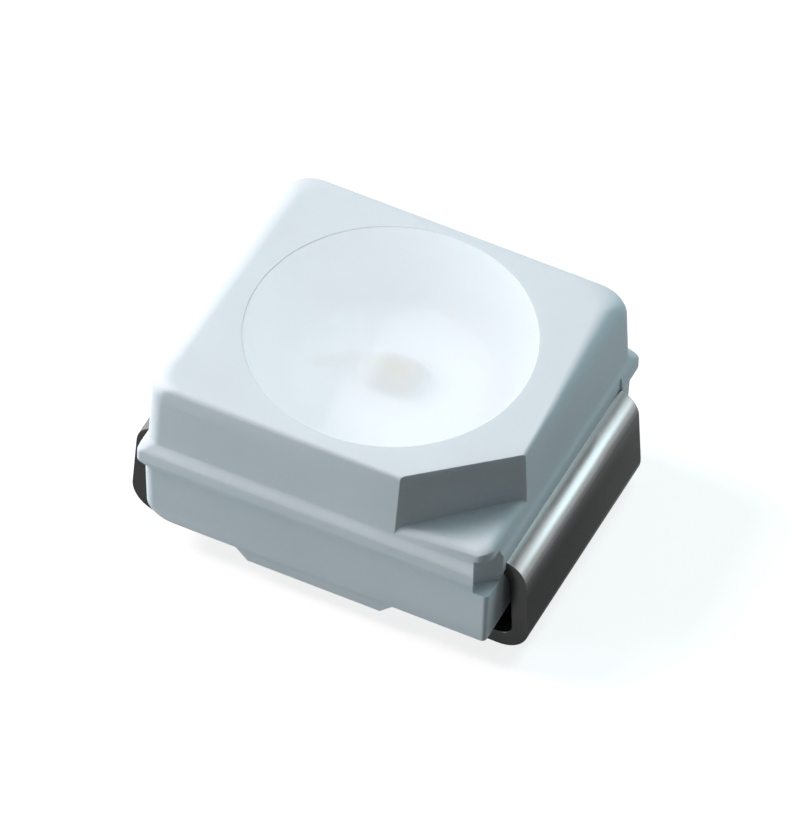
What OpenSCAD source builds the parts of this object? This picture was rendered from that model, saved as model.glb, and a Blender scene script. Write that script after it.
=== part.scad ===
// Surface-mount LED in a two-lead moulded chip carrier.
// X runs from lead to lead, Y across the leads, and Z up from the solder plane.
// The origin is the middle of the footprint. Lengths are in millimetres.

/* [Package] */
// Height of the package above the solder plane
package_h = 1.90; // [1.75:0.05:2.20]
// Length of the housing over its parting bead, from lead to lead
flange_l = 3.20; // [3.10:0.05:3.60]
// Width of the housing over its parting bead
flange_w = 2.80; // [2.75:0.05:3.20]
// Height of the cup floor, level with the tops of the lead strips
floor_z = 1.02; // [0.92:0.02:1.10]

/* [Parting bead] */
// Height of the foot of the bead above the parting plane
bead_foot_h = 0.03; // [0.01:0.01:0.05]
// Rise of the sloped underside of the bead
bead_slope_h = 0.08; // [0.04:0.01:0.10]
// Height of the upright face of the bead
bead_face_h = 0.105; // [0.06:0.005:0.12]
// Height of the flare between the bead and the upper wall
flare_h = 0.135; // [0.08:0.005:0.15]
// Corner radius of the bead in plan
bead_corner_r = 0.04; // [0.02:0.01:0.08]

/* [Housing walls] */
// Setback of the upper wall behind the face of the bead
upper_setback = 0.04; // [0.02:0.01:0.06]
// Draft of the upper walls, in degrees
upper_draft = 2; // [0:0.5:4]
// Setback of the lower wall behind the face of the bead
lower_setback = 0.035; // [0.02:0.005:0.05]
// Draft of the lower walls, in degrees
lower_draft = 1.5; // [0:0.5:4]
// Rounding of the top edges at the lead ends
end_edge_r = 0.18; // [0.10:0.01:0.20]
// Rounding of the top edges along the long sides
side_edge_r = 0.08; // [0.04:0.01:0.10]
// Rounding of the top edges where they run out at the polarity notch
notch_edge_r = 0.02; // [0.01:0.01:0.04]
// Corner radius of the upper walls in plan
upper_corner_r = 0.15; // [0.10:0.01:0.18]
// Corner radius where the top edges blend together
top_corner_r = 0.28; // [0.20:0.02:0.32]
// Corner radius of the lower walls in plan
lower_corner_r = 0.10; // [0.06:0.01:0.14]
// Corner radius where the bottom edges blend together
bottom_corner_r = 0.22; // [0.16:0.01:0.26]
// Rounding of the bottom edges at the lead ends
bottom_end_r = 0.16; // [0.08:0.01:0.18]
// Rounding of the bottom edges along the long sides
bottom_side_r = 0.04; // [0.02:0.01:0.06]
// Radius of the sharp lower corner under the polarity notch
sharp_corner_r = 0.04; // [0.02:0.01:0.06]

/* [Polarity notch] */
// Length of the notch along the long side
notch_l = 0.79; // [0.60:0.01:0.80]
// Width of the notch along the lead end
notch_w = 0.68; // [0.60:0.01:0.70]
// Height of the ledge above the cup floor, at its outer end
ledge_h = 0.35; // [0.30:0.01:0.44]
// Slope of the ledge down toward the middle, in degrees
ledge_tilt = 5.5; // [0:0.5:7]
// Rounding of the outer edge of the ledge at the lead end
ledge_end_r = 0.09; // [0.04:0.01:0.10]
// Rounding of its edge along the long side, at the inner end of the ledge
ledge_lip_r = 0.03; // [0.02:0.01:0.06]
// Rounding of the corner of the ledge
ledge_corner_r = 0.10; // [0.06:0.01:0.14]
// Height of the pocket under that corner, above the parting plane
pocket_h = 0.37; // [0.30:0.01:0.40]
// Length of the pocket along the long side
pocket_l = 0.155; // [0.10:0.005:0.20]
// Length of the pocket along the lead end
pocket_w = 0.37; // [0.30:0.01:0.42]

/* [Underside] */
// Gap between a solder pad and the underside of the housing
pad_gap = 0.135; // [0.10:0.005:0.15]
// Clearance of the middle foot above the solder plane
foot_clearance = 0.20; // [0.14:0.01:0.22]
// Length of the middle foot at its bottom face
foot_l = 1.20; // [0.80:0.05:1.30]
// Slope of the ends of the foot, from the vertical in degrees
foot_flank = 45; // [20:5:60]

/* [Reflector cup] */
// Diameter of the cup at its rim
cup_rim_d = 2.40; // [2.20:0.02:2.40]
// Diameter of the cup at its floor
cup_floor_d = 1.70; // [1.60:0.02:2.00]

/* [Leads] */
// Thickness of the lead strip
lead_t = 0.15; // [0.12:0.01:0.18]
// Width of the lead strip
lead_w = 2.12; // [1.90:0.02:2.16]
// Clearance between the lower wall and the upright of a lead, at its upper bend
lead_side_gap = 0.05; // [0.03:0.005:0.08]
// Lean of the upright, outward toward its foot, in degrees
lead_splay = 3.5; // [0:0.5:6]
// Inside radius of the upper bend
upper_bend_r = 0.09; // [0.04:0.01:0.12]
// Inside radius of the lower bend
lower_bend_r = 0.11; // [0.06:0.01:0.14]
// Length of a solder pad, over the lower bend
pad_l = 0.85; // [0.70:0.05:0.95]
// Gap between the two leads under the cup floor
lead_gap = 0.15; // [0.10:0.01:0.20]
// Place of the middle of that gap along X
lead_gap_x = -0.38; // [-0.44:0.02:-0.34]

/* [Chip] */
// Side of the square chip
chip_w = 0.34; // [0.28:0.02:0.36]
// Height of the chip
chip_h = 0.15; // [0.10:0.01:0.20]
// Place of the chip along X
chip_x = 0.06; // [0.02:0.01:0.12]
// Place of the chip along Y
chip_y = 0.02; // [-0.10:0.01:0.10]
// Thickness of the conductive adhesive under the chip
attach_t = 0.02; // [0.01:0.005:0.03]
// Reach of the adhesive past the chip
attach_reach = 0.04; // [0.02:0.01:0.05]
// Diameter of the round electrode on top of the chip
electrode_d = 0.12; // [0.10:0.01:0.16]
// Thickness of that electrode
electrode_t = 0.01; // [0.005:0.001:0.02]

/* [Bond wire] */
// Diameter of the bond wire
wire_d = 0.03; // [0.02:0.005:0.04]
// Diameter of the ball bond on the electrode
ball_d = 0.08; // [0.06:0.01:0.09]
// Height of the ball bond
ball_h = 0.025; // [0.02:0.005:0.04]
// Rise of the wire loop above the ball bond
loop_h = 0.16; // [0.10:0.01:0.22]
// Distance of the second bond from the end of its lead
second_bond_inset = 0.16; // [0.12:0.01:0.20]
// Place of the second bond along Y
second_bond_y = -0.10; // [-0.20:0.01:0.20]

/* [Resin] */
// Depth of the resin surface below the rim of the cup, at the wall
resin_step = 0.015; // [0.005:0.005:0.03]
// Sag of the resin surface in the middle
resin_sag = 0.025; // [0:0.005:0.04]

/* [Hidden] */
$fn = 96;

// Half sizes of the housing at the face of its bead
half_l = flange_l / 2;
half_w = flange_w / 2;
// The mould parts level with the undersides of the lead strips
parting_z = floor_z - lead_t;
underside_z = lead_t + pad_gap;
// Levels of the bead, from its foot up to the wall above it
bead_foot_z = parting_z + bead_foot_h;
face_low_z = bead_foot_z + bead_slope_h;
crest_z = face_low_z + bead_face_h;
wall_z = crest_z + flare_h;
// Place of the upper walls where the flare runs out
wall_x = half_l - upper_setback;
wall_y = half_w - upper_setback;
// Centres of the two bends of a lead, and its outermost reach
upper_bend_x = half_l - lower_setback + lead_side_gap - upper_bend_r;
upper_bend_z = parting_z - upper_bend_r;
lower_bend_z = lead_t + lower_bend_r;
lower_bend_x = upper_bend_x
    - (lower_bend_r - upper_bend_r - sin(lead_splay) * (upper_bend_z - lower_bend_z)) / cos(lead_splay);
lead_out_x = lower_bend_x + lower_bend_r + lead_t;
// Depth of the cup and the height of the resin at the wall
cup_depth = package_h - floor_z;
resin_z = package_h - resin_step;
// Steps of the flare, of a bend, of a rounded edge and of a corner
flare_steps = 5;
bend_steps = 10;
edge_steps = 6;
corner_steps = 7;
// Margin by which a cutter passes a face
over = 0.2;
// Inner corner of the pocket, as shares of its two lengths
pocket_corner = [1.3, 0.33];
// Radius of those corners of the ledge block that stay inside the housing
buried_r = 0.01;

// How far a quarter-round of radius r has drawn in, where it has risen so far
function drawn_in(rise, r) = rise <= 0 ? 0 : r - sqrt(max(0, r * r - rise * rise));

// One level ring of a loft: a four-sided outline with round corners, given as [x, y, radius]
// from the (+X, +Y) corner and anticlockwise
function ring(corners, z) =
    [for (c = [0 : 3], i = [0 : corner_steps])
        let (sx = (c == 0 || c == 3) ? 1 : -1)
        let (sy = c < 2 ? 1 : -1)
        let (r = corners[c][2])
        let (a = 90 * c + 90 * i / corner_steps)
        [corners[c][0] - sx * r + r * cos(a), corners[c][1] - sy * r + r * sin(a), z]];
// The same for a rectangle of half sizes hx and hy with one corner radius
function even_ring(hx, hy, r, z) = ring([[hx, hy, r], [-hx, hy, r], [-hx, -hy, r], [hx, -hy, r]], z);

// Solid through a stack of rings, closed by its first and last ring
module loft(rings) {
    n = len(rings[0]);
    m = len(rings);
    points = [for (level = rings) each level];
    walls = [for (k = [0 : m - 2], i = [0 : n - 1])
        let (j = (i + 1) % n)
        [k * n + i, (k + 1) * n + i, (k + 1) * n + j, k * n + j]];
    bottom = [[for (i = [0 : n - 1]) i]];
    top = [[for (i = [n - 1 : -1 : 0]) (m - 1) * n + i]];
    polyhedron(points, concat(walls, bottom, top), convexity = 4);
}

// Ring of the lower walls at height z; the corner under the notch stays sharp
function lower_ring(z) =
    let (inset = lower_setback + (bead_foot_z - z) * tan(lower_draft))
    let (side_in = drawn_in(underside_z + bottom_side_r - z, bottom_side_r))
    ring([for (c = [0 : 3])
        let (end_r = c == 3 ? bottom_side_r : bottom_end_r)
        let (end_in = drawn_in(underside_z + end_r - z, end_r))
        let (corner_r = c == 3 ? sharp_corner_r
            : lower_corner_r + (bottom_corner_r - lower_corner_r) * end_in / end_r)
        [((c == 0 || c == 3) ? 1 : -1) * (half_l - inset - end_in),
         (c < 2 ? 1 : -1) * (half_w - inset - side_in), corner_r]], z);

// Ring of the bead, the flare and the upper walls; the edges run out crisp at the notch
function upper_ring(z, inset) =
    let (grown = min(1, max(0, z - crest_z) / flare_h))
    let (wall_corner_r = bead_corner_r + (upper_corner_r - bead_corner_r) * grown)
    ring([for (c = [0 : 3])
        let (end_r = c == 3 ? notch_edge_r : end_edge_r)
        let (side_r = c == 3 ? notch_edge_r : side_edge_r)
        let (top_r = c == 3 ? upper_corner_r : top_corner_r)
        let (end_in = drawn_in(z - package_h + end_r, end_r))
        let (side_in = drawn_in(z - package_h + side_r, side_r))
        [((c == 0 || c == 3) ? 1 : -1) * (half_l - inset - end_in),
         (c < 2 ? 1 : -1) * (half_w - inset - side_in),
         wall_corner_r + (top_r - wall_corner_r) * end_in / end_r]], z);
function wall_inset(z) = upper_setback + (z - wall_z) * tan(upper_draft);

// Outside of the housing: lower walls, sloped bead, flare, drafted upper walls and round edges
module outside() {
    low = [for (i = [0 : edge_steps])
        lower_ring(underside_z + bottom_end_r * (1 - cos(90 * i / edge_steps)))];
    bead = [lower_ring(bead_foot_z), upper_ring(face_low_z, 0), upper_ring(crest_z, 0)];
    flare = [for (i = [1 : flare_steps])
        let (t = i / flare_steps)
        upper_ring(crest_z + flare_h * t, upper_setback * (3 * t * t - 2 * t * t * t))];
    top = [for (i = [0 : edge_steps])
        let (z = package_h - end_edge_r + end_edge_r * sin(90 * i / edge_steps))
        upper_ring(z, wall_inset(z))];
    loft(concat(low, bead, flare, top));
}

// Middle foot, a bar with sloped ends across the whole underside
module foot() {
    top_z = underside_z + bottom_side_r;
    flank = (top_z - foot_clearance) * tan(foot_flank);
    foot_w = 2 * (half_w - lower_setback - (bead_foot_z - foot_clearance) * tan(lower_draft));
    translate([0, foot_w / 2, 0])
        rotate([90, 0, 0])
            linear_extrude(foot_w)
                polygon([[-foot_l / 2, foot_clearance], [foot_l / 2, foot_clearance],
                         [foot_l / 2 + flank, top_z], [-foot_l / 2 - flank, top_z]]);
}

// Plan of the corner that the polarity notch takes off the top face
module notch_plan() {
    x = half_l - wall_inset(package_h);
    y = half_w - wall_inset(package_h);
    run = notch_l / notch_w;
    polygon([[x - notch_l - run * over, -y - over], [x + over, -y + notch_w + over / run],
             [x + over, -y - over]]);
}

// Block whose top is the ledge that stays under the notch: it slopes down toward the middle,
// and its outer edges and corner are round
module ledge_block() {
    top_z = floor_z + ledge_h;
    function tilted(p) = [p[0], p[1], p[2] + (p[0] - wall_x) * tan(ledge_tilt)];
    function level(z) =
        let (end_x = wall_x - drawn_in(z - top_z + ledge_end_r, ledge_end_r))
        let (lip_y = -wall_y + drawn_in(z - top_z + ledge_lip_r, ledge_lip_r))
        let (corner_y = -wall_y + drawn_in(z - top_z + ledge_corner_r, ledge_corner_r))
        let (plan = [[end_x, 0, buried_r], [0, 0, buried_r], [0, lip_y, buried_r],
                     [end_x, corner_y, ledge_corner_r]])
        [for (p = ring(plan, z)) tilted(p)];
    loft(concat([level(parting_z)],
        [for (i = [0 : edge_steps]) level(top_z - ledge_corner_r * (1 - sin(90 * i / edge_steps)))]));
}

// What the polarity notch removes over the ledge
module notch_cut() {
    difference() {
        translate([0, 0, wall_z]) linear_extrude(package_h) notch_plan();
        ledge_block();
    }
}

// Pocket in the wall and the bead under the corner of the ledge, with a flat floor
module corner_pocket() {
    translate([0, 0, parting_z])
        linear_extrude(pocket_h)
            polygon([[half_l - pocket_l, -half_w - over], [half_l - pocket_l, -half_w],
                     [half_l - pocket_corner[0] * pocket_l, -half_w + pocket_corner[1] * pocket_w],
                     [half_l, -half_w + pocket_w], [half_l + over, -half_w + pocket_w],
                     [half_l + over, -half_w - over]]);
}

// The bead is only half as proud where a lead is clamped between the mould halves
module bead_gap(y0, y1) {
    face_x = half_l - lower_setback / 2;
    translate([face_x, y0, parting_z]) cube([over, y1 - y0, package_h]);
}

// Hollow of the reflector cup, a cone from its floor on the leads to its rim
module cup_space(top_z, sag = 0) {
    slope = (cup_rim_d - cup_floor_d) / 2 / cup_depth;
    rim_r = cup_floor_d / 2 + slope * (top_z - floor_z);
    rotate_extrude()
        polygon(concat([[0, floor_z], [cup_floor_d / 2, floor_z], [rim_r, top_z]],
            [for (i = [1 : 8])
                let (r = rim_r * (1 - i / 8))
                [r, top_z - sag * (1 - pow(r / rim_r, 2))]]));
}

// Points along an arc of radius r around a centre, from angle a0 to angle a1
function arc(centre, r, a0, a1) =
    [for (i = [0 : bend_steps])
        let (a = a0 + (a1 - a0) * i / bend_steps)
        centre + r * [cos(a), sin(a)]];

// Lead strip seen along Y: out of the housing, down its end and back under it as a solder pad
module lead_profile(inner_x) {
    upper = [upper_bend_x, upper_bend_z];
    lower = [lower_bend_x, lower_bend_z];
    outer = concat(arc(upper, upper_bend_r + lead_t, 90, lead_splay),
                   arc(lower, lower_bend_r + lead_t, lead_splay, -90));
    inner = concat(arc(lower, lower_bend_r, -90, lead_splay), arc(upper, upper_bend_r, lead_splay, 90));
    polygon(concat([[inner_x, floor_z]], outer, [[lead_out_x - pad_l, 0], [lead_out_x - pad_l, lead_t]],
                   inner, [[inner_x, parting_z]]));
}

module lead(inner_x) {
    translate([0, lead_w / 2, 0])
        rotate([90, 0, 0])
            linear_extrude(lead_w) lead_profile(inner_x);
}

module cathode_lead() {
    color("dimgray") lead(lead_gap_x + lead_gap / 2);
}

module anode_lead() {
    color("dimgray") mirror([1, 0, 0]) lead(-(lead_gap_x - lead_gap / 2));
}

// One moulding: both halves, the foot, the cup and the polarity notch, cast round the leads
module housing() {
    color("whitesmoke")
        difference() {
            union() {
                outside();
                foot();
            }
            notch_cut();
            corner_pocket();
            bead_gap(-half_w - over, lead_w / 2);
            mirror([1, 0, 0]) bead_gap(-lead_w / 2, lead_w / 2);
            cup_space(package_h);
            cathode_lead();
            anode_lead();
        }
}

// Flattened drop of conductive adhesive that holds the chip to the cathode lead
module die_attach() {
    side = chip_w / 2 + attach_reach;
    color("silver")
        translate([chip_x, chip_y, floor_z])
            loft([even_ring(side, side, attach_reach * 1.5, 0),
                  even_ring(side - attach_reach / 2, side - attach_reach / 2, attach_reach, attach_t)]);
}

module led_chip() {
    color("tan")
        translate([chip_x - chip_w / 2, chip_y - chip_w / 2, floor_z + attach_t])
            cube([chip_w, chip_w, chip_h]);
}

module chip_electrode() {
    color("gold")
        translate([chip_x, chip_y, floor_z + attach_t + chip_h])
            cylinder(h = electrode_t, d = electrode_d, $fn = 32);
}

// Middle line of the bond wire, from the ball bond over its loop to the second bond
ball_z = floor_z + attach_t + chip_h + electrode_t;
wire_start = [chip_x, chip_y, ball_z + ball_h];
wire_end = [lead_gap_x - lead_gap / 2 - second_bond_inset, second_bond_y, floor_z + wire_d / 2];
wire_rings = 24;
wire_sides = 8;
function wire_point(t) =
    let (k = pow(t, 1.4))
    [wire_start[0] + (wire_end[0] - wire_start[0]) * k,
     wire_start[1] + (wire_end[1] - wire_start[1]) * k,
     wire_start[2] + (wire_end[2] - wire_start[2]) * k + loop_h * sin(180 * pow(t, 0.62))];
function unit(v) = v / norm(v);

// Ball-bonded gold wire, with its flattened stitch on the anode lead
module bond_wire() {
    side = unit(cross(wire_end - wire_start, [0, 0, 1]));
    rings = [for (k = [0 : wire_rings])
        let (t = k / wire_rings)
        let (p = wire_point(t))
        let (along = unit(wire_point(min(1, t + 0.01)) - wire_point(max(0, t - 0.01))))
        let (up = cross(side, along))
        [for (i = [0 : wire_sides - 1])
            let (a = 360 * i / wire_sides)
            p + wire_d / 2 * (cos(a) * side + sin(a) * up)]];
    color("gold") {
        loft(rings);
        translate([chip_x, chip_y, ball_z])
            cylinder(h = ball_h + wire_d / 4, d = ball_d, $fn = 24);
        translate([wire_end[0], wire_end[1], floor_z])
            cylinder(h = wire_d, d = 2.6 * wire_d, $fn = 24);
    }
}

// Diffusing resin that fills the cup round the chip and its wire
module resin_fill() {
    color("white", 0.6)
        difference() {
            cup_space(resin_z, resin_sag);
            die_attach();
            led_chip();
            chip_electrode();
            bond_wire();
        }
}

housing();
cathode_lead();
anode_lead();
die_attach();
led_chip();
chip_electrode();
bond_wire();
resin_fill();
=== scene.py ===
from math import cos, pi, radians, sin, sqrt, tan

import bmesh
import bpy
from mathutils import Matrix, Vector


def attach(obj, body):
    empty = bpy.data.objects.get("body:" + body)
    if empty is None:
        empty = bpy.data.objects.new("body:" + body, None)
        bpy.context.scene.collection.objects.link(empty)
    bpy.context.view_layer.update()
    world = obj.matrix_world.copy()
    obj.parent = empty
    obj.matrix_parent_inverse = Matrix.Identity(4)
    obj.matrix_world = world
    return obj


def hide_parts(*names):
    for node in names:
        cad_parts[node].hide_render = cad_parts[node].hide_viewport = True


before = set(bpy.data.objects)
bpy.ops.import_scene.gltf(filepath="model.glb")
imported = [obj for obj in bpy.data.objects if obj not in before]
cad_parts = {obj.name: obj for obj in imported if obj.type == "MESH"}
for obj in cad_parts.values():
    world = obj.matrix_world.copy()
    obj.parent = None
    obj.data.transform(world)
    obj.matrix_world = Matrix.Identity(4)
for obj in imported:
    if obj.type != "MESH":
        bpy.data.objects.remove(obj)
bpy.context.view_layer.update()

# Lead strips: two tongues stamped from 0.15 mm copper strip and plated, which the housing is
# moulded round. Each is bent down the end wall and back under it as a solder pad.
# They are worked in millimetres and made metres once they are finished, as every piece here is.
strip_t, strip_w = 0.15, 2.12
strip_top = 1.02
splay = radians(3.5)
upper_x, upper_bend = 1.525, 0.09
lower_x, lower_bend = 1.5366, 0.11
pad_tip = 0.947
strip_edge = 0.012
bend_steps = 14
# X of each strip's inner end, on either side of the gap in the floor of the cup
cathode_end, anode_end = -0.305, -0.455
# heights between which the painted reflection band rises on the strip, how far in from its sheared edges the
# painted shade keeps them dark, and how far out on the floor of the cup it is silver: whole up to the first,
# gone at the second
painted_band_low, painted_band_high = 0.65, 1.05
edge_shade_whole, edge_shade_gone = 0.003, 0.010
silver_whole, silver_gone = 0.90, 1.00
to_metres = 0.001


def finished(name, bm, slot, material, *nodes, crease=30):
    """Turns a bmesh in millimetres into a piece in metres that stands for these CAD nodes."""
    bmesh.ops.scale(bm, vec=(to_metres, to_metres, to_metres), verts=bm.verts)
    for edge in bm.edges:
        edge.smooth = edge.calc_face_angle(pi) < radians(crease)
    for face in bm.faces:
        face.smooth = True
    mesh = bpy.data.meshes.new(name)
    bm.to_mesh(mesh)
    bm.free()
    mesh.materials.append(material)
    piece = bpy.data.objects.new(name, mesh)
    bpy.context.scene.collection.objects.link(piece)
    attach(piece, "root")
    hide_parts(*nodes)
    return piece


def new_finish(name):
    """A material, its shader, and the call that links two sockets in it."""
    material = bpy.data.materials.new(name)
    material.use_nodes = True
    return material, material.node_tree.nodes["Principled BSDF"], material.node_tree.links.new


def node_in(material, kind, x, y, **inputs):
    """Adds a node at that place in the material's graph and sets the inputs that are named."""
    node = material.node_tree.nodes.new(kind)
    node.location = (x, y)
    for key, value in inputs.items():
        node.inputs[key.replace("_", " ")].default_value = value
    return node


def strip_metal():
    metal, shader, link = new_finish("plated_strip")
    shader.inputs["Metallic"].default_value = 1.0
    shader.inputs["Specular Tint"].default_value = (0.5, 0.5, 0.5, 1)
    place = node_in(metal, "ShaderNodeTexCoord", -1400, 0)
    # rolling marks run along the strip
    rolled = node_in(metal, "ShaderNodeMapping", -1200, -200, Scale=(4000, 90000, 9000))
    link(place.outputs["Object"], rolled.inputs["Vector"])
    marks = node_in(metal, "ShaderNodeTexNoise", -1000, -200, Scale=1.0, Detail=4.0, Roughness=0.6)
    link(rolled.outputs["Vector"], marks.inputs["Vector"])
    # painted reflection: the strip's colour is painted dark on the flats, standing in for a dark surround
    # mirrored in them, and light in a band round the upper bend, as a painted highlight
    patches = node_in(metal, "ShaderNodeTexNoise", -1200, 200, Scale=2600.0, Detail=3.0)
    link(place.outputs["Object"], patches.inputs["Vector"])
    height = node_in(metal, "ShaderNodeSeparateXYZ", -1200, 350)
    link(place.outputs["Object"], height.inputs["Vector"])
    uneven = node_in(metal, "ShaderNodeMath", -1000, 250)
    uneven.operation = "MULTIPLY_ADD"
    uneven.inputs[1].default_value = to_metres * 0.03
    link(patches.outputs["Fac"], uneven.inputs[0])
    link(height.outputs["Z"], uneven.inputs[2])
    rise = node_in(metal, "ShaderNodeMapRange", -900, 200, From_Min=to_metres * painted_band_low,
                   From_Max=to_metres * painted_band_high)
    link(uneven.outputs[0], rise.inputs["Value"])
    # painted shade: near its sheared edges, and on the end faces, the strip's colour stays at the dark end
    # of the painted band
    across = node_in(metal, "ShaderNodeMath", -1000, 50)
    across.operation = "ABSOLUTE"
    link(height.outputs["Y"], across.inputs[0])
    inside = node_in(metal, "ShaderNodeMapRange", -900, 0, From_Min=to_metres * (strip_w / 2 - edge_shade_whole),
                     From_Max=to_metres * (strip_w / 2 - edge_shade_gone))
    link(across.outputs[0], inside.inputs["Value"])
    # where the painted reflection tone sits: by height up the bend, and held dark at the sheared edges
    painted_band_mask = node_in(metal, "ShaderNodeMath", -850, 100)
    painted_band_mask.operation = "MULTIPLY"
    link(rise.outputs["Result"], painted_band_mask.inputs[0])
    link(inside.outputs["Result"], painted_band_mask.inputs[1])
    tone = node_in(metal, "ShaderNodeValToRGB", -800, 200)
    tone.color_ramp.interpolation = "EASE"
    # painted reflection band: (how far up, how light)
    painted_band_tones = [(0.04, 0.045), (0.25, 0.062), (0.42, 0.090), (0.56, 0.155), (0.67, 0.30), (0.76, 0.42),
               (0.83, 0.36), (0.91, 0.12)]
    stops = tone.color_ramp.elements
    stops[0].position, stops[1].position = painted_band_tones[0][0], painted_band_tones[-1][0]
    for at, grey in painted_band_tones[1:-1]:
        stops.new(at)
    for stop, (at, grey) in zip(stops, painted_band_tones):
        stop.color = (grey, grey, grey, 1)
    link(painted_band_mask.outputs[0], tone.inputs["Fac"])
    # on the floor of the cup the strip keeps its own bright silver, without the painted reflection: the
    # height counts four times over, so that the pads, which lie as near to the middle, are left out
    middle = node_in(metal, "ShaderNodeVectorMath", -1200, 500)
    middle.operation = "MULTIPLY_ADD"
    middle.inputs[1].default_value = (1, 1, 4)
    middle.inputs[2].default_value = (0, 0, -4 * to_metres * strip_top)
    link(place.outputs["Object"], middle.inputs[0])
    radius = node_in(metal, "ShaderNodeVectorMath", -1000, 500)
    radius.operation = "LENGTH"
    link(middle.outputs["Vector"], radius.inputs[0])
    spot = node_in(metal, "ShaderNodeMapRange", -800, 500, From_Min=to_metres * silver_whole,
                   From_Max=to_metres * silver_gone)
    link(radius.outputs["Value"], spot.inputs["Value"])
    # own silver on the floor of the cup, painted reflection and highlight tones everywhere else
    plated = node_in(metal, "ShaderNodeMix", -500, 300)
    plated.data_type = "RGBA"
    plated.inputs["A"].default_value = (0.93, 0.94, 0.95, 1)
    link(spot.outputs["Result"], plated.inputs["Factor"])
    link(tone.outputs["Color"], plated.inputs["B"])
    link(plated.outputs["Result"], shader.inputs["Base Color"])
    rough = node_in(metal, "ShaderNodeMapRange", -500, -50, To_Min=0.26, To_Max=0.38)
    link(marks.outputs["Fac"], rough.inputs["Value"])
    satin = node_in(metal, "ShaderNodeMix", -300, -50, A=0.75)
    link(spot.outputs["Result"], satin.inputs["Factor"])
    link(rough.outputs["Result"], satin.inputs["B"])
    link(satin.outputs["Result"], shader.inputs["Roughness"])
    grain = node_in(metal, "ShaderNodeBump", -300, -300, Strength=0.25, Distance=2e-6)
    link(marks.outputs["Fac"], grain.inputs["Height"])
    link(grain.outputs["Normal"], shader.inputs["Normal"])
    return metal


strip_material = strip_metal()


def strip_bmesh(inner_x, side):
    """A strip from inner_x out through the end wall, swept round both bends to the pad's tip."""
    bm = bmesh.new()
    low = strip_top - strip_t
    bmesh.ops.create_grid(bm, x_segments=1, y_segments=1, size=0.5)
    bmesh.ops.scale(bm, vec=(strip_t, strip_w, 1), verts=bm.verts)
    bmesh.ops.rotate(bm, cent=(0, 0, 0), matrix=Matrix.Rotation(pi / 2, 3, "Y"), verts=bm.verts)
    bmesh.ops.translate(bm, vec=(inner_x * side, 0, low + strip_t / 2), verts=bm.verts)
    face = bm.faces[:][0]

    def push(face, by):
        out = bmesh.ops.extrude_face_region(bm, geom=[face])["geom"]
        bmesh.ops.translate(bm, vec=by, verts=[v for v in out if isinstance(v, bmesh.types.BMVert)])
        return [f for f in out if isinstance(f, bmesh.types.BMFace)][0]

    def turn(face, cent, angle):
        geom = [face] + list(face.edges) + list(face.verts)
        out = bmesh.ops.spin(bm, geom=geom, cent=cent, axis=(0, 1, 0), dvec=(0, 0, 0), angle=angle,
                             steps=bend_steps, use_merge=False, use_normal_flip=False, use_duplicate=False)
        return [f for f in out["geom_last"] if isinstance(f, bmesh.types.BMFace)][0]

    upper, lower = Vector((upper_x, 0, low - upper_bend)), Vector((lower_x, 0, strip_t + lower_bend))
    face = push(face, (upper_x - inner_x * side, 0, 0))
    face = turn(face, upper, pi / 2 - splay)
    face = push(face, lower - upper + (lower_bend - upper_bend) * Vector((cos(splay), 0, sin(splay))))
    face = turn(face, lower, pi / 2 + splay)
    push(face, (pad_tip - lower_x, 0, 0))
    sharp = [e for e in bm.edges if e.calc_face_angle(0) > radians(60)]
    bmesh.ops.bevel(bm, geom=sharp, offset=strip_edge, offset_type="OFFSET", segments=3, profile=0.5,
                    affect="EDGES", material=-1, clamp_overlap=True)
    if side < 0:
        bmesh.ops.scale(bm, vec=(-1, 1, 1), verts=bm.verts)
    bmesh.ops.recalc_face_normals(bm, faces=bm.faces)
    return bm


finished("cathode_strip", strip_bmesh(cathode_end, 1), "lead", strip_material, "cathode_lead")
finished("anode_strip", strip_bmesh(anode_end, -1), "lead", strip_material, "anode_lead")

# Housing: one moulding of white filled nylon, shot round the strips in a two-part mould.
# Drafted walls meet in a flared bead over the parting plane, soft edges run round the top,
# and one corner carries the polarity notch with its sloped ledge.
package_h = 1.90
half_l, half_w = 1.60, 1.40
parting_z, bead_foot, bead_face, crest_z, wall_z = 0.87, 0.90, 0.98, 1.085, 1.22
underside, foot_bottom = 0.285, 0.20
lower_inset, upper_inset = 0.035, 0.04
lower_draft, upper_draft = tan(radians(1.5)), tan(radians(2))
# radii of the corners in plan: on the bead and under the notch, on the wall above, and below
bead_corner, wall_corner, low_corner = 0.04, 0.15, 0.10
# half the height of the round on the bead's lower edge, and its depth
bead_round, bead_round_in = 0.016, 0.007
# heights of the tallest top and bottom roundings, and the bottom one's radius on the side walls
top_h, bottom_h, side_low = 0.2, 0.16, 0.04
foot_half, foot_sink = 0.6, 0.04
notch_l, notch_w = 0.79, 0.68
ledge_z, ledge_slope = 1.37, tan(radians(5.5))
ledge_end_r, ledge_lip_r, ledge_corner_r, ledge_inner_r = 0.09, 0.03, 0.10, 0.01
pocket_x, pocket_y, pocket_top = 1.445, -1.10, 1.24
pocket_corner = (1.3985, -1.277)
clamp_x = 1.5825
cup_floor_r, cup_rim_r = 0.85, 1.20
rim_round, cup_sink = 0.010, 0.0015
low_steps, bead_steps, wall_steps, ledge_steps = 12, 6, 16, 12
# how far a cutting tool reaches past what it cuts
past = 0.2
over = package_h + past


def outline(bm, corners, height):
    """One level outline of the moulding: a face on its corners (x, y, radius), made round."""
    made = [bm.verts.new((x, y, height)) for x, y, radius in corners]
    bm.faces.new(made)
    before = set(bm.verts) - set(made)
    for vert, (x, y, radius) in zip(made, corners):
        bmesh.ops.bevel(bm, geom=[vert], offset=radius, offset_type="OFFSET", segments=8,
                        profile=0.5, affect="VERTICES", material=-1)
    verts = [v for v in bm.verts if v not in before]
    return list({e for v in verts for e in v.link_edges})


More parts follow.
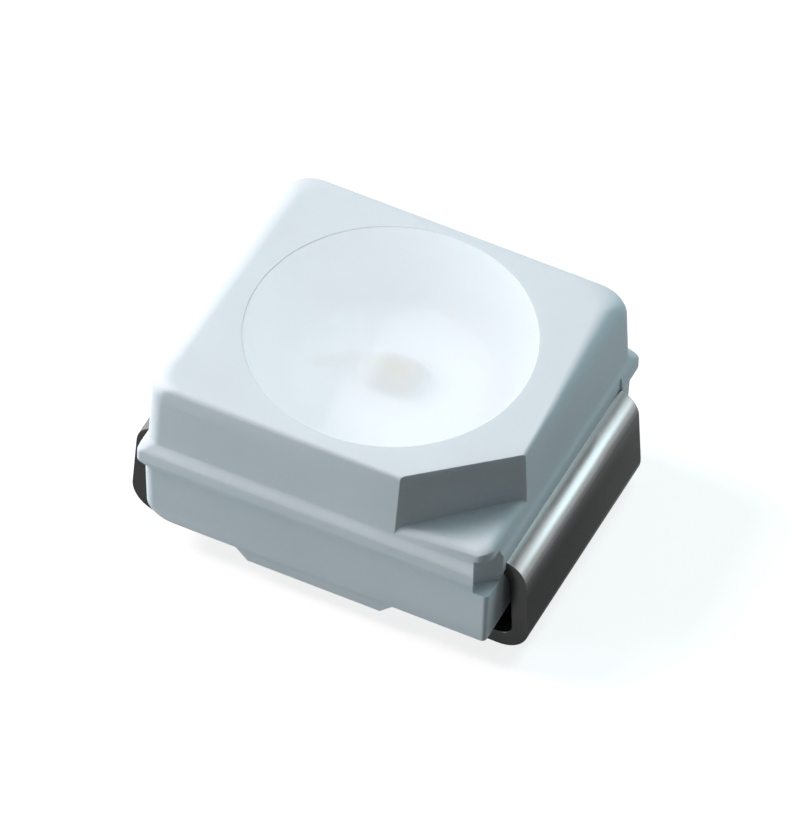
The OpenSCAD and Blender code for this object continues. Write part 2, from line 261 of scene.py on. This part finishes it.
def quarter(rise, radius):
    """How far a rounding of that radius has drawn in, where it has risen that far."""
    return 0 if rise <= 0 else radius - sqrt(max(0, radius * radius - rise * rise))


# Each corner's roundings: of the top edge on its end wall and on its side wall, of the corner at
# the top, of the bottom edge on its end wall, and of the corner's plan at the bottom.
# The last one is no corner, but the point on the end wall up to which the top edge stays crisp
# beside the notch, before it grows softer toward the back.
corner_forms = {(1, 1): (0.20, 0.09, 0.30, 0.14, 0.16), (-1, 1): (0.20, 0.09, 0.28, 0.16, 0.24),
                (-1, -1): (0.14, 0.05, 0.20, 0.16, 0.24), (1, -1): (0.02, 0.02, 0.10, 0.04, 0.06),
                (1, -0.33): (0.03, 0.05, 0.40, 0.07, 0.10)}
body = bmesh.new()
loops, heights = [], []
# the outlines are made this far apart, which keeps the bridges between them straight
apart = 5


def lower_level(z):
    """An outline of the lower half, whose walls lean in toward the underside."""
    inset = lower_inset + (bead_foot - z) * lower_draft
    corners = []
    for (sx, sy), form in corner_forms.items():
        end_low, corner_low = form[3:]
        radius = bead_corner if (sx, sy) == (1, -1) else low_corner
        radius += (corner_low - radius) * min(1, quarter(underside + end_low - z, end_low) / end_low)
        corners.append(((half_l - inset - quarter(underside + end_low - z, end_low)) * sx,
                        (half_w - inset - quarter(underside + side_low - z, side_low)) * sy, radius))
    loops.append(outline(body, corners, apart * len(loops)))
    heights.append(z)


def upper_level(z, inset):
    """An outline of the upper half, drawn in at the top by each corner's own roundings."""
    corners = []
    for (sx, sy), form in corner_forms.items():
        end_top, side_top, corner_top = form[:3]
        radius = bead_corner + (wall_corner - bead_corner) * min(1, max(0, z - crest_z) / (wall_z - crest_z))
        radius += (corner_top - radius) * quarter(z - package_h + top_h, top_h) / top_h
        corners.append(((half_l - inset - quarter(z - package_h + end_top, end_top)) * sx,
                        (half_w - inset - quarter(z - package_h + side_top, side_top)) * sy, radius))
    loops.append(outline(body, corners, apart * len(loops)))
    heights.append(z)


def lofted(bm, loops, heights, slope=0, pivot=0):
    """Bridges the outlines while they are well apart, then brings them to their heights, which
    may slope along X from the pivot."""
    ends = {loops[0][0].link_faces[0], loops[-1][0].link_faces[0]}
    bmesh.ops.delete(bm, geom=[f for f in bm.faces if f not in ends], context="FACES_ONLY")
    for low, high in zip(loops, loops[1:]):
        bmesh.ops.bridge_loops(bm, edges=low + high)
    for vert in bm.verts:
        vert.co.z = heights[round(vert.co.z / apart)] + (vert.co.x - pivot) * slope
    bmesh.ops.recalc_face_normals(bm, faces=bm.faces)


for step in range(low_steps + 1):
    lower_level(underside + bottom_h * (1 - cos(pi / 2 * step / low_steps)))
lower_level(bead_foot)
# the bead: a sloped underside, a small round, an upright face, and the flare up to the wall
for step in range(bead_steps + 1):
    t = step / bead_steps
    upper_level(bead_face + bead_round * (2 * t - 1), bead_round_in * (1 - t) * (1 - t))
for step in range(wall_steps + 1):
    t = step / wall_steps
    upper_level(crest_z + (wall_z - crest_z) * t, upper_inset * (3 * t * t - 2 * t * t * t))
for step in range(wall_steps + 1):
    z = package_h - top_h + top_h * sin(pi / 2 * step / wall_steps)
    upper_level(z, upper_inset + (z - wall_z) * upper_draft)
lofted(body, loops, heights)


def working(name, bm):
    """An object in millimetres that only takes part in cutting and joining."""
    mesh = bpy.data.meshes.new(name)
    bm.to_mesh(mesh)
    bm.free()
    part = bpy.data.objects.new(name, mesh)
    bpy.context.scene.collection.objects.link(part)
    return part


def worked(part, steps):
    """Cuts tools out of a part, or joins them to it, in turn, and returns the result as a bmesh."""
    for operation, tool in steps:
        cut = part.modifiers.new(operation, "BOOLEAN")
        cut.operation, cut.solver, cut.object = operation, "EXACT", tool
    bpy.context.view_layer.update()
    result = part.evaluated_get(bpy.context.evaluated_depsgraph_get())
    bm = bmesh.new()
    bm.from_mesh(result.to_mesh())
    result.to_mesh_clear()
    for used in [part] + [tool for operation, tool in steps]:
        bpy.data.objects.remove(used)
    return bm


def prism(points, axis, start, end):
    """A flat outline of (across, up) points, pushed along Y or Z from start to end."""
    bm = bmesh.new()
    if axis == "Y":
        verts = [bm.verts.new((a, start, b)) for a, b in points]
    else:
        verts = [bm.verts.new((a, b, start)) for a, b in points]
    face = bm.faces.new(verts)
    pushed = bmesh.ops.extrude_face_region(bm, geom=[face])["geom"]
    by = (0, end - start, 0) if axis == "Y" else (0, 0, end - start)
    bmesh.ops.translate(bm, vec=by, verts=[v for v in pushed if isinstance(v, bmesh.types.BMVert)])
    bmesh.ops.recalc_face_normals(bm, faces=bm.faces)
    return bm


# middle foot across the underside, with sloped ends
foot_y = half_w - lower_inset - (bead_foot - foot_bottom) * lower_draft
foot_root = underside + foot_sink
flank = foot_root - foot_bottom
foot = working("foot", prism([(-foot_half, foot_bottom), (foot_half, foot_bottom),
                              (foot_half + flank, foot_root), (-foot_half - flank, foot_root)],
                             "Y", -foot_y, foot_y))
# polarity notch: the corner over a ledge that slopes toward the middle, with round outer edges
top_x = half_l - upper_inset - (package_h - wall_z) * upper_draft
top_y = half_w - upper_inset - (package_h - wall_z) * upper_draft
run = notch_l / notch_w
notch_block = prism([(top_x - notch_l - run * past, -top_y - past), (top_x + past, -top_y - past),
                     (top_x + past, -top_y + notch_w + past / run)], "Z", wall_z, over)
ledge_x, ledge_y = half_l - upper_inset, half_w - upper_inset
ledge = bmesh.new()
loops, heights = [], []
for step in range(ledge_steps + 2):
    z = ledge_z - ledge_corner_r * (1 - sin(pi / 2 * (step - 1) / ledge_steps)) if step else parting_z
    end_in, lip_in, corner_in = [quarter(z - ledge_z + radius, radius)
                                 for radius in (ledge_end_r, ledge_lip_r, ledge_corner_r)]
    loops.append(outline(ledge, [(ledge_x - end_in, 0, ledge_inner_r), (0, 0, ledge_inner_r),
                                 (0, lip_in - ledge_y, ledge_inner_r),
                                 (ledge_x - end_in, corner_in - ledge_y, ledge_corner_r)], apart * step))
    heights.append(z)
lofted(ledge, loops, heights, ledge_slope, ledge_x)
ledge = working("ledge", ledge)
notch = working("notch", worked(working("notch_block", notch_block), [("DIFFERENCE", ledge)]))
# the pocket under the ledge's corner, and the bead less proud where the leads are clamped
pocket = working("pocket", prism([(pocket_x, -half_w - past), (pocket_x, -half_w), pocket_corner,
                                  (half_l, pocket_y), (half_l + past, pocket_y),
                                  (half_l + past, -half_w - past)], "Z", parting_z, pocket_top))
gap_line = [(clamp_x, parting_z), (half_l + past, parting_z), (half_l + past, over), (clamp_x, over)]
gap_right = working("gap_right", prism(gap_line, "Y", -half_w - past, strip_w / 2))
gap_left = working("gap_left", prism([(-x, z) for x, z in gap_line], "Y", -strip_w / 2, strip_w / 2))


def turned(bm, profile, x=0, y=0, steps=128):
    """Spins a chain of (radius, height) points round the upright through x, y."""
    verts = [bm.verts.new((x + radius, y, z)) for radius, z in profile]
    edges = [bm.edges.new(pair) for pair in zip(verts, verts[1:])]
    bmesh.ops.spin(bm, geom=verts + edges, cent=(x, y, 0), axis=(0, 0, 1), dvec=(0, 0, 0), angle=2 * pi,
                   steps=steps, use_merge=True, use_normal_flip=False, use_duplicate=False)


def closed(bm):
    """Merges the points that a turned shape has on its own axis, and turns its faces outward."""
    bmesh.ops.remove_doubles(bm, verts=bm.verts, dist=0.0001)
    bmesh.ops.recalc_face_normals(bm, faces=bm.faces)
    return bm


# reflector cup: a cone with a hair of rounding at its rim
cup = bmesh.new()
turned(cup, [(0, strip_top - cup_sink), (cup_floor_r, strip_top - cup_sink),
             (cup_rim_r - rim_round * 0.4, package_h - rim_round),
             (cup_rim_r + rim_round * 0.1, package_h - rim_round * 0.4),
             (cup_rim_r + rim_round * 0.7, package_h), (cup_rim_r + rim_round * 0.7, over), (0, over)])
cup = working("cup", closed(cup))


def two_tones(material, x, y, low, high, start=0.0, end=1.0):
    """A colour ramp that blends from low at start to high at end."""
    ramp = node_in(material, "ShaderNodeValToRGB", x, y)
    for stop, at, colour in zip(ramp.color_ramp.elements, (start, end), (low, high)):
        stop.position, stop.color = at, (*colour, 1)
    return ramp


def moulded_nylon():
    nylon, shader, link = new_finish("moulded_nylon")
    shader.inputs["Specular IOR Level"].default_value = 0.2
    shader.inputs["Subsurface Weight"].default_value = 0.25
    shader.inputs["Subsurface Radius"].default_value = (0.8, 1.0, 1.1)
    shader.inputs["Subsurface Scale"].default_value = 0.00008
    place = node_in(nylon, "ShaderNodeTexCoord", -1200, 0)
    cloud = node_in(nylon, "ShaderNodeTexNoise", -900, 200, Scale=1100.0, Detail=3.0)
    link(place.outputs["Object"], cloud.inputs["Vector"])
    tone = two_tones(nylon, -600, 200, (0.79, 0.82, 0.85), (0.83, 0.86, 0.89), 0.3, 0.7)
    link(cloud.outputs["Fac"], tone.inputs["Fac"])
    link(tone.outputs["Color"], shader.inputs["Base Color"])
    fine = node_in(nylon, "ShaderNodeTexNoise", -900, -200, Scale=26000.0, Detail=4.0, Roughness=0.6)
    link(place.outputs["Object"], fine.inputs["Vector"])
    rough = node_in(nylon, "ShaderNodeMapRange", -600, -100, To_Min=0.42, To_Max=0.58)
    link(fine.outputs["Fac"], rough.inputs["Value"])
    link(rough.outputs["Result"], shader.inputs["Roughness"])
    grain = node_in(nylon, "ShaderNodeBump", -400, -300, Strength=0.3, Distance=3e-6)
    link(fine.outputs["Fac"], grain.inputs["Height"])
    link(grain.outputs["Normal"], shader.inputs["Normal"])
    return nylon


moulding = worked(working("body", body),
                  [("UNION", foot), ("DIFFERENCE", notch), ("DIFFERENCE", pocket), ("DIFFERENCE", gap_right),
                   ("DIFFERENCE", gap_left), ("DIFFERENCE", cup),
                   ("DIFFERENCE", working("cathode_seat", strip_bmesh(cathode_end, 1))),
                   ("DIFFERENCE", working("anode_seat", strip_bmesh(anode_end, -1)))])
bmesh.ops.remove_doubles(moulding, verts=moulding.verts, dist=0.0002)
housing = finished("moulded_housing", moulding, "housing", moulded_nylon(), "housing", crease=28)
weighted = housing.modifiers.new("even_shading", "WEIGHTED_NORMAL")
weighted.keep_sharp = True

# Conductive adhesive: a drop of epoxy filled with silver flakes. It is dabbed on the cathode
# strip and squeezed out flat, a little wider than the chip that is set in it.
chip_x, chip_y = 0.06, 0.02
attach_half, attach_t = 0.21, 0.02
attach_corner, attach_brim = 0.06, 0.018


def silver_epoxy():
    epoxy, shader, link = new_finish("silver_epoxy")
    shader.inputs["Metallic"].default_value = 0.4
    shader.inputs["Roughness"].default_value = 0.5
    place = node_in(epoxy, "ShaderNodeTexCoord", -900, 0)
    flakes = node_in(epoxy, "ShaderNodeTexVoronoi", -700, 0, Scale=90000.0)
    link(place.outputs["Object"], flakes.inputs["Vector"])
    tone = two_tones(epoxy, -400, 0, (0.64, 0.64, 0.65), (0.88, 0.88, 0.88))
    link(flakes.outputs["Distance"], tone.inputs["Fac"])
    link(tone.outputs["Color"], shader.inputs["Base Color"])
    return epoxy


drop = bmesh.new()
bmesh.ops.create_cube(drop, size=1)
bmesh.ops.scale(drop, vec=(2 * attach_half, 2 * attach_half, attach_t), verts=drop.verts)
bmesh.ops.translate(drop, vec=(chip_x, chip_y, strip_top + attach_t / 2), verts=drop.verts)
upright = [e for e in drop.edges if abs(e.verts[0].co.z - e.verts[1].co.z) > attach_t / 2]
bmesh.ops.bevel(drop, geom=upright, offset=attach_corner, offset_type="OFFSET", segments=6,
                profile=0.5, affect="EDGES", material=-1)
brim = [e for e in drop.edges if all(v.co.z > strip_top + attach_t / 2 for v in e.verts)]
bmesh.ops.bevel(drop, geom=brim, offset=attach_brim, offset_type="OFFSET", segments=4,
                profile=0.5, affect="EDGES", material=-1)
finished("adhesive_drop", drop, "adhesive", silver_epoxy(), "die_attach")

# Chip: a square sawn from a wafer of crystal, its top edges left with the bevel of the saw.
# It is frosted by the saw and lies in the adhesive, in the middle of the cup.
chip_half, chip_t, chip_bevel = 0.17, 0.15, 0.02


def sawn_crystal():
    crystal, shader, link = new_finish("sawn_crystal")
    shader.inputs["Roughness"].default_value = 0.35
    place = node_in(crystal, "ShaderNodeTexCoord", -900, 0)
    frost = node_in(crystal, "ShaderNodeTexNoise", -700, 0, Scale=30000.0, Detail=3.0)
    link(place.outputs["Object"], frost.inputs["Vector"])
    tone = two_tones(crystal, -400, 0, (0.50, 0.42, 0.37), (0.62, 0.54, 0.48))
    link(frost.outputs["Fac"], tone.inputs["Fac"])
    link(tone.outputs["Color"], shader.inputs["Base Color"])
    return crystal


chip = bmesh.new()
bmesh.ops.create_cube(chip, size=1)
bmesh.ops.scale(chip, vec=(2 * chip_half, 2 * chip_half, chip_t), verts=chip.verts)
bmesh.ops.translate(chip, vec=(chip_x, chip_y, strip_top + attach_t + chip_t / 2), verts=chip.verts)
top_edges = [e for e in chip.edges if all(v.co.z > strip_top + attach_t + chip_t / 2 for v in e.verts)]
bmesh.ops.bevel(chip, geom=top_edges, offset=chip_bevel, offset_type="OFFSET", segments=2,
                profile=0.5, affect="EDGES", material=-1)
finished("sawn_chip", chip, "chip", sawn_crystal(), "led_chip")

# Electrode: a round film of gold in the middle of the chip's top. It is laid down there from
# vapour before the chip is sawn, and the bond wire is welded to it.
chip_top = strip_top + attach_t + chip_t
film_r, film_t, film_bevel = 0.06, 0.01, 0.003


def bond_gold():
    gold, shader, link = new_finish("bond_gold")
    shader.inputs["Metallic"].default_value = 1.0
    place = node_in(gold, "ShaderNodeTexCoord", -900, 0)
    tint = node_in(gold, "ShaderNodeTexNoise", -700, 0, Scale=40000.0, Detail=2.0)
    link(place.outputs["Object"], tint.inputs["Vector"])
    tone = two_tones(gold, -400, 100, (0.80, 0.58, 0.26), (0.90, 0.70, 0.38))
    link(tint.outputs["Fac"], tone.inputs["Fac"])
    link(tone.outputs["Color"], shader.inputs["Base Color"])
    rough = node_in(gold, "ShaderNodeMapRange", -400, -150, To_Min=0.2, To_Max=0.4)
    link(tint.outputs["Fac"], rough.inputs["Value"])
    link(rough.outputs["Result"], shader.inputs["Roughness"])
    return gold


gold_material = bond_gold()

film = bmesh.new()
turned(film, [(0, chip_top), (film_r, chip_top), (film_r, chip_top + film_t - film_bevel),
              (film_r - film_bevel, chip_top + film_t), (0, chip_top + film_t)], chip_x, chip_y, steps=48)
finished("electrode_film", closed(film), "gold", gold_material, "chip_electrode")

# Bond wire: a 0.03 mm wire of soft gold. Its end is melted to a ball that is welded to the
# electrode, and from there it runs in a low loop to its stitch on the anode strip.
ball_h, ball_r = 0.025, 0.040
ball_top = chip_top + film_t + ball_h
wire_r, wire_steps = 0.015, 40
loop_h = 0.16
stitch_x, stitch_y = -0.615, -0.10
stitch_h, stitch_r = 0.030, 0.039
wire = bmesh.new()
start = Vector((chip_x, chip_y, ball_top))
finish = Vector((stitch_x, stitch_y, strip_top + wire_r))
across = (finish - start).cross(Vector((0, 0, 1))).normalized()


def wire_point(t):
    """The wire's middle line: steep up from the ball, and a long way down to the stitch."""
    return start.lerp(finish, t ** 1.4) + Vector((0, 0, loop_h * sin(pi * t ** 0.62)))


for step in range(wire_steps + 1):
    t = step / wire_steps
    along = (wire_point(min(1, t + 0.01)) - wire_point(max(0, t - 0.01))).normalized()
    up = across.cross(along)
    place = Matrix((across, up, along)).transposed().to_4x4()
    place.translation = wire_point(t)
    ring = bmesh.ops.create_circle(wire, cap_ends=step in (0, wire_steps), radius=wire_r, segments=12,
                                   matrix=place)
    edges = list({e for v in ring["verts"] for e in v.link_edges})
    if step:
        bmesh.ops.bridge_loops(wire, edges=last + edges)
    last = edges
bmesh.ops.recalc_face_normals(wire, faces=wire.faces)
# the flattened ball with the neck of the wire on it, and the stitch
turned(wire, [(0, ball_top - ball_h), (ball_r - 0.006, ball_top - ball_h), (ball_r, ball_top - 0.018),
              (ball_r, ball_top - 0.010), (ball_r - 0.006, ball_top - 0.003), (0.018, ball_top),
              (wire_r, ball_top + wire_r / 2), (0, ball_top + wire_r / 2)], chip_x, chip_y, steps=48)
turned(wire, [(0, strip_top), (stitch_r, strip_top), (0.036, strip_top + 0.012), (0.020, strip_top + 0.026),
              (0, strip_top + stitch_h)], stitch_x, stitch_y, steps=48)
finished("bond_wire_loop", closed(wire), "gold", gold_material, "bond_wire", crease=40)

# Resin: clear casting resin with a little diffuser, poured into the cup up to just under the rim.
# It wets the wall, so its surface hangs slightly between there and the middle.
resin_edge, resin_middle = 1.896, 1.868
resin_rings = 16
# how far it bites into the moulding and the strips
grip = 0.002


def cast_resin():
    resin, shader, link = new_finish("cast_resin")
    shader.inputs["Base Color"].default_value = (0.95, 0.965, 0.98, 1)
    shader.inputs["Transmission Weight"].default_value = 0.36
    shader.inputs["IOR"].default_value = 1.5
    place = node_in(resin, "ShaderNodeTexCoord", -900, 0)
    haze = node_in(resin, "ShaderNodeTexNoise", -700, 0, Scale=2500.0, Detail=2.0)
    link(place.outputs["Object"], haze.inputs["Vector"])
    rough = node_in(resin, "ShaderNodeMapRange", -400, 0, To_Min=0.33, To_Max=0.38)
    link(haze.outputs["Fac"], rough.inputs["Value"])
    link(rough.outputs["Result"], shader.inputs["Roughness"])
    # a lamp's light reaches the floor of the cup through the resin
    through = node_in(resin, "ShaderNodeBsdfTransparent", -100, -300, Color=(0.55, 0.55, 0.55, 1))
    rays = node_in(resin, "ShaderNodeLightPath", -400, 400)
    either = node_in(resin, "ShaderNodeMixShader", 300, 100)
    link(rays.outputs["Is Shadow Ray"], either.inputs["Fac"])
    link(shader.outputs["BSDF"], either.inputs[1])
    link(through.outputs["BSDF"], either.inputs[2])
    link(either.outputs["Shader"], resin.node_tree.nodes["Material Output"].inputs["Surface"])
    return resin


fill = bmesh.new()
filled = (resin_edge - strip_top) / (package_h - strip_top)
reach = cup_floor_r + (cup_rim_r - cup_floor_r) * filled + grip
chain = [(0, strip_top - grip), (cup_floor_r + grip, strip_top - grip), (reach, resin_edge)]
for step in range(1, resin_rings + 1):
    out = 1 - step / resin_rings
    chain.append((reach * out, resin_edge - (resin_edge - resin_middle) * (1 - out ** 2)))
turned(fill, chain)
finished("resin_cast", closed(fill), "resin", cast_resin(), "resin_fill")

# Stage: a plain pale floor, which keeps the part's shadow. It looks nearly white, also in a gloss
# and through the resin, and is a dark grey otherwise, so that it throws little light at the part.
floor_mesh = bmesh.new()
bmesh.ops.create_grid(floor_mesh, x_segments=1, y_segments=1, size=0.5)
mesh = bpy.data.meshes.new("floor")
floor_mesh.to_mesh(mesh)
floor_mesh.free()
floor = bpy.data.objects.new("floor", mesh)
bpy.context.scene.collection.objects.link(floor)
paper, shader, link = new_finish("paper_floor")
mesh.materials.append(paper)
shader.inputs["Base Color"].default_value = (0.18, 0.18, 0.18, 1)
shader.inputs["Roughness"].default_value = 0.9
shader.inputs["Specular IOR Level"].default_value = 0.1
seen = node_in(paper, "ShaderNodeBsdfDiffuse", -200, -300, Color=(0.45, 0.45, 0.45, 1))
glow = node_in(paper, "ShaderNodeEmission", -200, -500, Strength=0.8)
both = node_in(paper, "ShaderNodeAddShader", 0, -400)
link(seen.outputs["BSDF"], both.inputs[0])
link(glow.outputs["Emission"], both.inputs[1])


def direct_view(material):
    """1 for rays from the camera, off a gloss or through glass, which see the white stage."""
    rays = node_in(material, "ShaderNodeLightPath", -800, 600)
    first = node_in(material, "ShaderNodeMath", -600, 600)
    second = node_in(material, "ShaderNodeMath", -400, 600)
    first.operation = second.operation = "MAXIMUM"
    join = material.node_tree.links.new
    join(rays.outputs["Is Camera Ray"], first.inputs[0])
    join(rays.outputs["Is Glossy Ray"], first.inputs[1])
    join(first.outputs[0], second.inputs[0])
    join(rays.outputs["Is Transmission Ray"], second.inputs[1])
    return second.outputs[0]


pick = node_in(paper, "ShaderNodeMixShader", 300, 0)
link(direct_view(paper), pick.inputs["Fac"])
link(shader.outputs["BSDF"], pick.inputs[1])
link(both.outputs["Shader"], pick.inputs[2])
link(pick.outputs["Shader"], paper.node_tree.nodes["Material Output"].inputs["Surface"])

# World: it looks white too, as the photograph's cut-out does, and throws a weak teal light.
world = bpy.data.worlds.new("studio")
bpy.context.scene.world = world
world.use_nodes = True
fill_light = world.node_tree.nodes["Background"]
fill_light.inputs["Color"].default_value = (0.72, 0.95, 1.0, 1)
fill_light.inputs["Strength"].default_value = 0.03
white = node_in(world, "ShaderNodeBackground", 0, -200, Color=(1, 1, 1, 1), Strength=1.0)
pick = node_in(world, "ShaderNodeMixShader", 300, 0)
link = world.node_tree.links.new
link(direct_view(world), pick.inputs["Fac"])
link(fill_light.outputs["Background"], pick.inputs[1])
link(white.outputs["Background"], pick.inputs[2])
link(pick.outputs["Shader"], world.node_tree.nodes["World Output"].inputs["Surface"])


# Lamps: a warm key high on the left, and four cooler ones round the part, because the shaded
# sides in the photograph are teal and its top is neutral.
def softbox(name, place, size, power, colour):
    """A square lamp of that size, in metres, at place and turned to the part."""
    light = bpy.data.lights.new(name, "AREA")
    light.shape, light.size, light.energy, light.color = "SQUARE", size, power, colour
    lamp = bpy.data.objects.new(name, light)
    place, aim = Vector(place), Vector((0, 0, 0.001))
    turned_to = (place - aim).to_track_quat("Z", "Y").to_matrix().to_4x4()
    lamp.matrix_world = Matrix.Translation(place) @ turned_to
    bpy.context.scene.collection.objects.link(lamp)


softbox("key", (-0.0525, -0.0060, 0.0540), 0.030, 0.0455, (1.0, 0.92, 0.93))
softbox("overhead", (0.0109, 0.0335, 0.0662), 0.030, 0.0120, (0.66, 0.94, 1.0))
softbox("front_fill", (-0.0587, -0.0458, 0.0080), 0.035, 0.0370, (0.76, 0.95, 1.0))
softbox("side_fill", (0.0557, 0.0451, 0.0219), 0.030, 0.0080, (0.66, 0.94, 1.0))
softbox("back_fill", (0.0107, 0.0605, 0.0430), 0.035, 0.0085, (0.68, 0.94, 1.0))

# Camera: a long lens at the photograph's angle, with its slight roll. It stands so that the part
# has the size and the place in the picture that it has in the photograph.
turn, lift, roll = radians(25.024), radians(48.107), radians(1.586)
picture_h, pixels_per_mm = 828, 122.859
away, sensor = 0.1445, 36
# the point in the middle of the picture: up from the origin, then right and up in the picture
look_z, look_right, look_up = 0.0009, 0.0000953, 0.0000358
right = Vector((cos(turn), sin(turn), 0))
above = Vector((-sin(turn) * sin(lift), cos(turn) * sin(lift), cos(lift)))
toward = Vector((sin(turn) * cos(lift), -cos(turn) * cos(lift), sin(lift)))
right, above = right * cos(roll) + above * sin(roll), above * cos(roll) - right * sin(roll)
view_h = picture_h / pixels_per_mm * to_metres
middle = Vector((0, 0, look_z)) + right * look_right + above * look_up
camera_data = bpy.data.cameras.new("camera")
camera_data.sensor_width = sensor
camera_data.lens = sensor * away / view_h
camera_data.clip_start, camera_data.clip_end = 0.005, 5
camera = bpy.data.objects.new("camera", camera_data)
bpy.context.scene.collection.objects.link(camera)
pose = Matrix((right, above, toward)).transposed().to_4x4()
pose.translation = middle + toward * away
camera.matrix_world = pose
bpy.context.scene.camera = camera
bpy.context.scene.view_settings.view_transform = "Standard"
